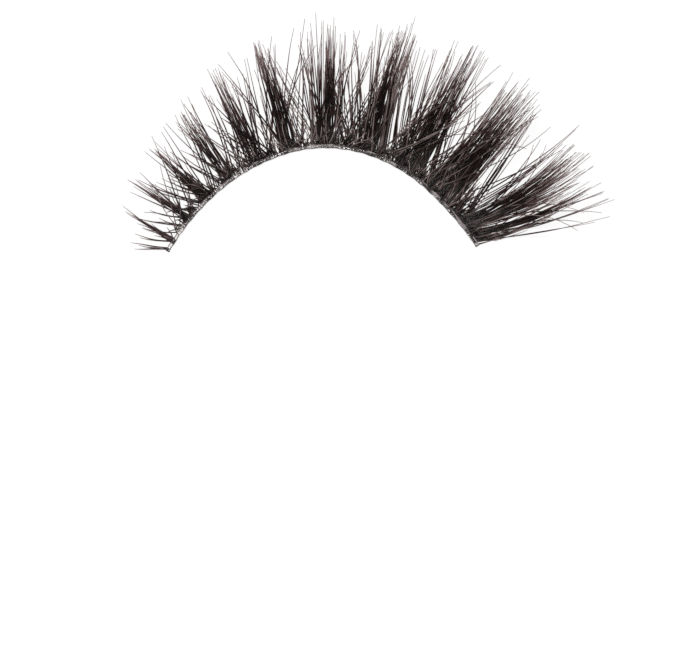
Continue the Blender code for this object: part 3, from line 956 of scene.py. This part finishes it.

# The crossing hairs, from the inner corner outwards. Fans 24 and 25, read one by one, hold
# single strays and long hairs that lie over several tufts
FANS: Tuple[LashFan, ...] = (
    LashFan(1, Layer.UNDER, locks(
        (0.76, 0.31, 169.7, 3.1, 0.11, 0.17, 1), (0.73, 0.2, 174.5, 2.5, 0.11, 0.07, 1),
        (1.67, 0.2, 174.6, 2.9, 0.12, 0.17, 1), (2.28, 0.2, 169.0, 2.3, 0.14, -0.1, 1))),
    LashFan(2, Layer.OVER, locks(
        (2.72, 0.42, 108.9, 7.7, 0.2, -0.1, 1), (1.72, 0.31, 103.8, 5.7, 0.2, 0.0, 1),
        (1.83, 0.31, 99.7, 5.1, 0.2, -0.53, 1), (1.93, 0.31, 116.6, 4.2, 0.2, 0.38, 1),
        (2.77, 0.42, 114.9, 3.0, 0.42, -0.23, 1))),
    LashFan(3, Layer.UNDER, locks(
        (2.44, 0.25, 170.9, 3.8, 0.16, 0.09, 1), (3.05, 0.25, 171.0, 3.7, 0.2, -0.06, 1),
        (3.3, 0.25, 170.2, 3.3, 0.11, 0.23, 1), (2.26, 0.31, 156.8, 2.0, 0.42, 0.07, 1))),
    LashFan(4, Layer.AMONG, locks(
        (3.96, 0.42, 113.9, 6.1, 0.11, 0.0, 1), (4.01, 0.42, 107.3, 5.4, 0.62, 0.17, 1),
        (4.01, 0.42, 100.8, 2.8, 0.62, 0.17, 1))),
    LashFan(5, Layer.UNDER, locks(
        (4.93, 0.31, 160.9, 5.6, 0.48, 0.17, 2, 1), (5.86, 0.31, 164.6, 4.7, 0.11, 0.17, 2, 1),
        (5.77, 0.31, 153.6, 4.0, 0.42, -0.07, 2), (4.82, 0.42, 150.8, 2.4, 0.42, 0.17, 1),
        (4.08, 0.31, -175.6, 2.2, 0.2, -0.17, 2))),
    LashFan(6, Layer.OVER, locks(
        (5.1, 0.31, 120.6, 7.0, 0.17, 0.0, 1), (5.82, 0.31, 123.2, 6.9, 0.17, 0.0, 1),
        (6.02, 0.31, 115.5, 7.4, 0.17, -0.05, 1), (6.45, 1.08, 111.8, 7.4, 0.66, -0.09, 3),
        (6.47, 0.42, 115.8, 4.1, 0.62, -0.34, 1))),
    LashFan(7, Layer.AMONG, locks(
        (7.47, 0.42, 150.6, 5.5, 0.11, 0.09, 2, 1), (8.3, 0.42, 152.1, 4.7, 0.22, -0.09, 3, 1),
        (7.92, 0.42, 136.7, 7.3, 0.17, 0.16, 1), (7.87, 0.42, 131.8, 6.4, 0.19, -0.28, 4))),
    LashFan(8, Layer.AMONG, locks(
        (8.6, 0.42, 111.3, 7.5, 0.11, -0.17, 2), (9.36, 0.42, 115.9, 7.7, 0.17, 0.0, 1),
        (9.47, 0.62, 112.4, 7.3, 0.3, -0.07, 1), (9.22, 0.62, 102.1, 7.0, 2.68, -0.1, 1, 1),
        (9.24, 0.62, 93.2, 3.7, 1.94, 0.19, 1))),
    LashFan(9, Layer.OVER, locks(
        (11.15, 2.52, 144.5, 5.5, 1.54, 0.09, 3, 4), (10.31, 0.72, 147.2, 6.7, 0.44, 0.16, 2),
        (11.68, 0.72, 136.1, 7.2, 0.44, -0.1, 2), (9.32, 1.08, 138.2, 1.6, 0.66, -0.05, 2, 1))),
    LashFan(10, Layer.AMONG, locks(
        (11.17, 0.62, 100.8, 8.6, 0.22, 0.0, 2, 1), (11.53, 0.62, 100.1, 8.5, 0.65, 0.0, 1),
        (12.09, 0.62, 101.4, 7.5, 0.11, -0.39, 1), (11.81, 0.62, 102.0, 8.5, 0.47, 0.0, 1),
        (11.17, 0.62, 105.5, 7.1, 0.42, 0.0, 2))),
    LashFan(11, Layer.OVER, locks(
        (12.44, 0.42, 112.6, 9.9, 0.32, -0.23, 1), (13.61, 1.08, 128.8, 9.0, 0.66, -0.07, 2, 1),
        (12.26, 1.08, 121.2, 3.6, 0.66, -0.1, 2, 1), (12.0, 1.08, 143.7, 5.4, 0.66, -0.15, 2, 1))),
    LashFan(12, Layer.UNDER, locks(
        (13.22, 0.52, 77.8, 9.2, 0.23, 0.54, 1), (12.87, 0.42, 71.0, 9.7, 0.14, 0.61, 1),
        (13.48, 0.31, 84.9, 10.1, 0.12, 0.45, 1), (13.05, 0.42, 78.2, 11.2, 0.12, 0.07, 1),
        (11.95, 0.2, 86.5, 9.4, 0.11, -0.17, 2), (11.96, 0.2, 87.6, 10.3, 0.08, 0.31, 1),
        (14.67, 0.84, 86.6, 8.1, 0.9, 0.07, 2), (14.8, 0.84, 87.1, 5.8, 0.11, 0.0, 1),
        (14.42, 0.84, 71.6, 2.5, 0.11, -0.17, 2, 2))),
    LashFan(13, Layer.OVER, locks(
        (15.82, 1.8, 118.4, 8.8, 1.1, 0.17, 3, 2), (16.15, 1.44, 117.5, 8.6, 0.88, -0.17, 3, 1),
        (14.87, 1.8, 105.6, 5.2, 1.6, 0.54, 3, 2), (16.09, 0.52, 100.0, 8.1, 0.2, 0.28, 1),
        (16.47, 1.8, 100.8, 8.4, 1.1, -0.17, 5))),
    LashFan(14, Layer.OVER, locks(
        (18.38, 0.72, 74.7, 9.2, 0.44, -0.02, 2), (17.46, 0.72, 65.8, 9.0, 0.44, 0.1, 2),
        (17.69, 0.31, 76.7, 10.6, 0.11, 0.26, 1), (18.81, 1.44, 92.0, 3.3, 0.88, 0.49, 0, 4),
        (16.78, 0.72, 69.1, 7.4, 0.44, 0.98, 2), (15.51, 0.72, 72.3, 9.1, 0.44, -0.39, 2))),
    LashFan(15, Layer.AMONG, locks(
        (19.62, 0.31, 91.9, 9.7, 0.14, -0.26, 3), (19.19, 0.73, 97.2, 7.8, 0.44, 0.0, 2),
        (19.17, 0.73, 89.0, 8.6, 0.12, 0.31, 1), (19.45, 0.62, 107.7, 7.7, 0.11, 0.35, 3),
        (19.34, 0.62, 94.3, 7.1, 0.11, 0.1, 2), (20.01, 0.62, 95.0, 6.9, 0.92, -0.07, 2, 1))),
    LashFan(16, Layer.OVER, locks(
        (19.26, 1.44, 20.3, 2.1, 0.88, 0.05, 2, 2), (20.18, 0.72, 83.2, 7.2, 0.44, -0.23, 2),
        (19.34, 0.72, 84.8, 8.4, 0.44, 0.24, 2))),
    LashFan(17, Layer.OVER, locks(
        (21.55, 0.52, 50.3, 7.4, 0.2, -0.17, 1), (21.85, 1.44, 40.1, 8.0, 0.88, -0.01, 3, 1),
        (21.8, 0.72, 28.6, 10.0, 0.44, -0.54, 2))),
    LashFan(18, Layer.AMONG, locks(
        (23.05, 0.52, 78.8, 9.9, 0.14, 0.17, 2), (23.17, 0.52, 76.7, 10.0, 0.14, 0.3, 1),
        (23.55, 0.52, 76.8, 9.5, 0.17, 0.26, 2), (23.35, 0.42, 85.1, 9.1, 0.11, -0.61, 3),
        (24.11, 0.52, 76.0, 10.4, 0.22, 0.13, 2), (24.5, 0.42, 79.5, 10.4, 0.11, 0.02, 1),
        (22.77, 0.62, 83.5, 8.1, 0.11, 0.0, 3, 2), (23.27, 0.62, 77.2, 4.4, 2.93, -0.08, 1, 2),
        (23.53, 0.62, 75.1, 8.2, 0.16, -0.17, 2))),
    LashFan(19, Layer.OVER, locks(
        (24.35, 0.62, 47.5, 12.0, 0.14, 0.6, 1), (24.42, 1.08, 46.4, 11.4, 0.66, 0.74, 2, 1),
        (24.65, 0.72, 48.1, 10.5, 0.44, 0.35, 2))),
    LashFan(20, Layer.OVER, locks(
        (23.23, 0.72, 28.9, 8.8, 0.44, -0.08, 2), (22.79, 0.62, 17.2, 7.5, 0.2, 0.78, 1),
        (26.3, 1.8, 33.1, 11.6, 1.1, -0.23, 5), (26.96, 0.62, 26.8, 11.3, 0.11, -0.52, 1),
        (26.33, 0.62, 26.9, 7.1, 0.11, 0.16, 1))),
    LashFan(21, Layer.UNDER, locks(
        (26.57, 0.62, 71.1, 9.5, 0.11, 0.28, 5), (26.99, 0.62, 69.7, 10.9, 1.38, 0.0, 3, 1),
        (26.43, 0.62, 48.6, 7.5, 0.11, 0.17, 2, 2), (27.44, 0.31, 70.7, 9.9, 0.11, -0.65, 1),
        (26.37, 0.62, 72.9, 4.2, 0.11, -0.12, 1, 1))),
    LashFan(22, Layer.AMONG, locks(
        (29.22, 0.62, 32.2, 12.4, 0.11, -0.59, 2), (28.26, 0.62, 22.6, 10.7, 0.11, -0.28, 1))),
    LashFan(23, Layer.AMONG, locks(
        (30.85, 0.7, 57.8, 10.7, 0.8, 0.0, 5), (30.7, 0.6, 56.6, 11.0, 0.5, -0.04, 3),
        (29.96, 0.62, 59.8, 4.4, 0.11, 0.06, 1, 5), (30.06, 0.62, 48.2, 3.8, 1.43, -0.42, 1, 4),
        (29.68, 0.62, 49.8, 3.5, 0.16, 0.0, 4, 5))),
    LashFan(24, Layer.OVER, locks(
        (19.15, 0.1, 87.4, 8.9, 0.1, 0.9, 1), (23.7, 0.1, 90.0, 9.9, 0.1, -0.6, 1),
        (27.33, 0.1, 24.6, 8.7, 0.1, 2.3, 1), (28.23, 0.1, 75.3, 10.4, 0.1, -1.0, 1),
        (30.62, 0.1, 47.2, 8.8, 0.1, -1.2, 1), (31.2, 0.1, 49.9, 9.9, 0.1, -0.6, 1),
        (31.58, 0.1, 8.2, 10.4, 0.1, 1.6, 1), (31.95, 0.1, 1.1, 9.4, 0.1, 1.5, 1))),
    LashFan(25, Layer.OVER, locks(
        (18.4, 1.4, 63.0, 8.4, 2.0, 0.2, 4), (21.9, 1.6, 44.0, 8.2, 2.4, 0.2, 5),
        (22.6, 1.2, 27.0, 7.0, 1.8, 0.3, 3), (25.4, 1.6, 31.0, 8.4, 2.6, 0.3, 5))),
)


def hand_over(piece: Piece, slot: Slot, node: Optional[str] = None) -> None:
    """Say what a piece rides on and what it replaces.

    Args:
        piece: the piece.
        slot: its material slot; not used.
        node: the solid that it replaces, if any.
    """
    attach(piece, ROOT_BODY)
    if node is not None:
        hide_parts(node)
    LOG.info("%s: %d faces", piece.name, len(piece.data.polygons))


@dataclass(frozen=True)
class LashHair:
    """All the lashes: the tufts and the hairs that cross between them."""

    finish: LashFibre = LashFibre()

    def build(self) -> None:
        """Build and place every piece of hair."""
        hair = self.finish.build()
        for tuft in TUFTS:
            hand_over(tuft.build(hair), Slot.HAIR, tuft.node)
        for fan in FANS:
            hand_over(fan.build(hair), Slot.HAIR)
        hand_over(KnotTails().build(hair), Slot.HAIR)


@dataclass(frozen=True)
class Band:
    """The band: a pair of threads over the hair butts, in a film of dried glue."""

    film_out: float = 0.205
    film_width: float = 0.36
    film_height: float = 0.36
    film_gap: float = 0.05
    film_sides: int = 12
    spin_steps: int = 22
    merge: float = 1e-7
    lump_size: float = 0.6
    lump_depth: float = 0.07
    thread_outs: Pair = (0.32, 0.07)
    thread_tints: Pair = (0.0, 0.12)
    thread_height: float = 0.34
    thread_radius: float = 0.042
    sway: float = 0.030
    sway_run: float = 1.7
    second_sway: float = 0.37
    height_sway: float = 1.3
    second_turn: float = 2.0
    thread_sides: int = 8
    thread_end: float = 0.05
    thread_step: float = 0.12

    def build(self) -> None:
        """Build and place the film and the threads."""
        hand_over(self.film(DriedGlue().build()), Slot.BAND, BAND_NODE)
        hand_over(self.thread(ClearThread().build()), Slot.BAND)

    def film(self, finish: Material) -> Piece:
        """Spin the film's section round the band's arcs, and make it lumpy.

        Args:
            finish: the glue.

        Returns:
            The film's object.
        """
        deselect()
        start = -LID.bare_inner_end
        middle = LID.beside(start, self.film_out)
        heading = LID.walk(start)[1]
        bpy.ops.mesh.primitive_circle_add(
            vertices=self.film_sides, radius=0.5, fill_type="NGON",
            location=(0.0, 0.0, 0.0), rotation=(math.radians(90.0), 0.0, 0.0))
        film = bpy.context.object
        film.name = "glue_film"
        bpy.ops.object.transform_apply(rotation=True)
        film.scale = (self.film_width * MM, 1.0, self.film_height * MM)
        bpy.ops.object.transform_apply(scale=True)
        film.rotation_euler = (0.0, 0.0, math.radians(heading - 90.0))
        height = self.film_height * MM / 2.0 + self.film_gap * MM
        film.location = (middle[0] * MM, middle[1] * MM, height)
        bpy.ops.object.transform_apply(location=True, rotation=True)
        bpy.ops.object.mode_set(mode="EDIT")
        bpy.ops.mesh.select_all(action="SELECT")
        place = start
        for index, arc in enumerate(LID.arcs):
            length = arc.length
            if index == 0:
                length += LID.bare_inner_end
            if index == len(LID.arcs) - 1:
                length += LID.bare_outer_end
            radius = arc.length / math.radians(arc.turn)
            turn = length / radius
            centre = LID.beside(place, -radius)
            bpy.ops.mesh.spin(
                steps=self.spin_steps, dupli=False, angle=turn, use_auto_merge=False,
                center=(centre[0] * MM, centre[1] * MM, 0.0), axis=(0.0, 0.0, 1.0))
            place += length
        bpy.ops.mesh.select_all(action="SELECT")
        bpy.ops.mesh.remove_doubles(threshold=self.merge)
        bpy.ops.mesh.normals_make_consistent(inside=False)
        bpy.ops.object.mode_set(mode="OBJECT")
        lumps = bpy.data.textures.new("film_lumps", "CLOUDS")
        lumps.noise_scale = self.lump_size * MM
        displace = film.modifiers.new("lumps", "DISPLACE")
        displace.texture = lumps
        displace.texture_coords = "LOCAL"
        displace.strength = self.lump_depth * MM
        displace.mid_level = 0.5
        bpy.ops.object.modifier_apply(modifier=displace.name)
        bpy.ops.object.shade_smooth()
        film.data.materials.clear()
        film.data.materials.append(finish)
        return film

    def thread(self, finish: Material) -> Piece:
        """Lay the two threads along the band, each swaying a little.

        Args:
            finish: the thread.

        Returns:
            The threads' object.
        """
        mesh = HairMesh(sides=self.thread_sides)
        first = -LID.bare_inner_end + self.thread_end
        last = LID.length + LID.bare_outer_end - self.thread_end
        places = np.arange(first, last, self.thread_step)
        for side, out in enumerate(self.thread_outs):
            points = []
            for place in places:
                phase = 2.0 * math.pi * place / self.sway_run * (1.0 + self.second_sway * side)
                flat = LID.beside(place, out + self.sway * math.sin(phase))
                rise = math.cos(self.height_sway * phase + self.second_turn * side)
                height = self.thread_height + self.sway * rise
                points.append((flat[0], flat[1], height))
            mesh.add(np.array(points), np.full(len(places), self.thread_radius),
                     self.thread_tints[side])
        return mesh.build("clear_thread", finish)


@dataclass(frozen=True)
class Studio:
    """The lit sheet, the soft light and the camera straight above it, in metres.

    The photo's width, height and the crown's place in it are in pixels, and the lens
    and the sensor in millimetres.
    """

    floor_size: float = 2.0
    room_light: float = 0.15
    lamp_length: float = 0.30
    lamp_width: float = 0.18
    lamp_place: Tuple[float, float, float] = (-0.10, 0.15, 0.60)
    lamp_tilt: Pair = (-14.0, -9.5)
    lamp_colour: Tuple[float, float, float] = (1.0, 0.95, 0.94)
    lamp_power: float = 2.0
    nearest: float = 0.01
    farthest: float = 5.0
    photo_width: int = 695
    photo_height: int = 646
    mm_per_pixel: float = 0.087
    crown_pixel: Pair = (325.2, 146.3)
    lens: float = 200.0
    sensor: float = 36.0

    def build(self) -> None:
        """Build the floor, the light and the camera."""
        self.floor()
        self.light()
        self.camera()

    def floor(self) -> None:
        """Lay the opal sheet that the strip lies on."""
        deselect()
        bpy.ops.mesh.primitive_plane_add(size=self.floor_size, location=(0.0, 0.0, 0.0))
        floor = bpy.context.object
        floor.name = "studio_floor"
        floor.data.materials.append(LitAcrylic().build())

    def light(self) -> None:
        """Hang one large soft light over the strip, in a white room."""
        world = bpy.data.worlds.new("white_room")
        world.use_nodes = True
        background = world.node_tree.nodes["Background"]
        background.inputs["Color"].default_value = (1.0, 1.0, 1.0, 1.0)
        background.inputs["Strength"].default_value = self.room_light
        bpy.context.scene.world = world
        lamp = bpy.data.lights.new("overhead_softbox", "AREA")
        lamp.shape = "RECTANGLE"
        lamp.size = self.lamp_length
        lamp.size_y = self.lamp_width
        lamp.color = self.lamp_colour
        lamp.energy = self.lamp_power
        box = bpy.data.objects.new("overhead_softbox", lamp)
        box.location = self.lamp_place
        box.rotation_euler = (*(math.radians(angle) for angle in self.lamp_tilt), 0.0)
        bpy.context.scene.collection.objects.link(box)

    def camera(self) -> None:
        """Set the camera straight above, with the strip where the photo has it."""
        across = (self.photo_width / 2.0 - self.crown_pixel[0]) * self.mm_per_pixel
        down = (self.photo_height / 2.0 - self.crown_pixel[1]) * self.mm_per_pixel
        distance = self.photo_width * self.mm_per_pixel * self.lens / self.sensor
        data = bpy.data.cameras.new("camera")
        data.lens = self.lens
        data.sensor_width = self.sensor
        data.clip_start = self.nearest
        data.clip_end = self.farthest
        camera = bpy.data.objects.new("camera", data)
        camera.location = (across * MM, -down * MM, distance * MM)
        scene = bpy.context.scene
        scene.collection.objects.link(camera)
        scene.camera = camera
        scene.view_settings.view_transform = "Standard"


def deselect() -> None:
    """Leave nothing selected, so that an operator acts on the new piece alone."""
    for item in bpy.context.selected_objects:
        item.select_set(False)
    bpy.context.view_layer.objects.active = None


def main() -> None:
    """Build the strip and the studio round it."""
    logging.basicConfig(level=logging.INFO, format="%(message)s")
    Studio().build()
    Band().build()
    LashHair().build()


if __name__ == "__main__":
    main()
